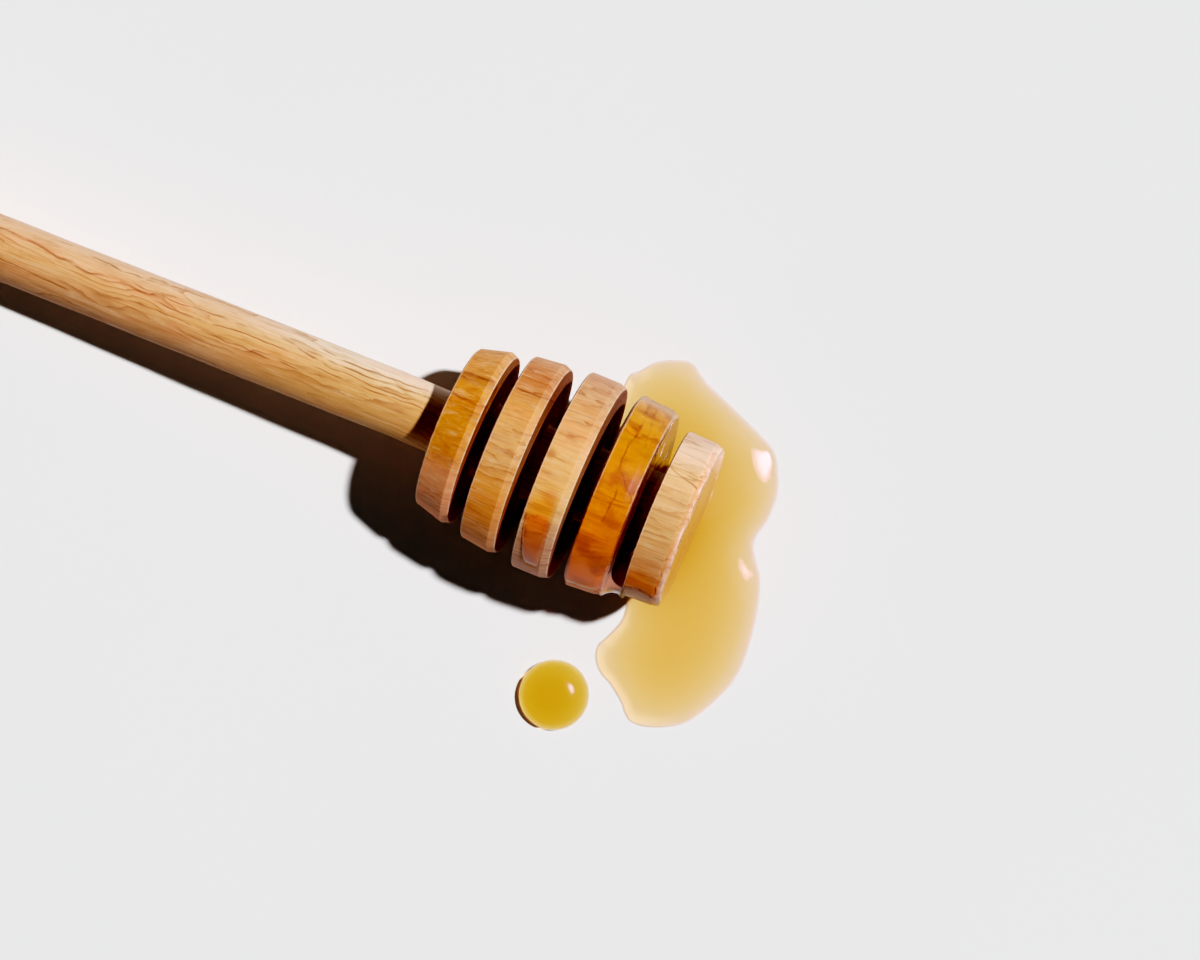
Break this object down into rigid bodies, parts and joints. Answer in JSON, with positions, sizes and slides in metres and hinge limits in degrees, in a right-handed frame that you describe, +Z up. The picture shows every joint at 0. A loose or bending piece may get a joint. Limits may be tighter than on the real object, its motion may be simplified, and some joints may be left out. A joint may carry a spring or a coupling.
{
  "type": "honey dipper",
  "caption": "Turned wooden honey dipper lying on its grooved head, with honey flowing off it into a small pool and a drop.",
  "frame": {"origin": "on the table, under the middle of the whole object's box", "axes": "+X along the handle towards the grooved head, +Z up from the table"},
  "size_m": [0.1762, 0.0612, 0.0317],
  "materials": {
    "olive_wood": "turned, sanded and lightly oiled olive wood with dark streaks",
    "honey": "clear golden runny honey with a wet gloss"
  },
  "bodies": {
    "root": {"dipper": "olive_wood", "honey_pool": "honey", "honey_drop": "honey"}
  },
  "joints": []
}
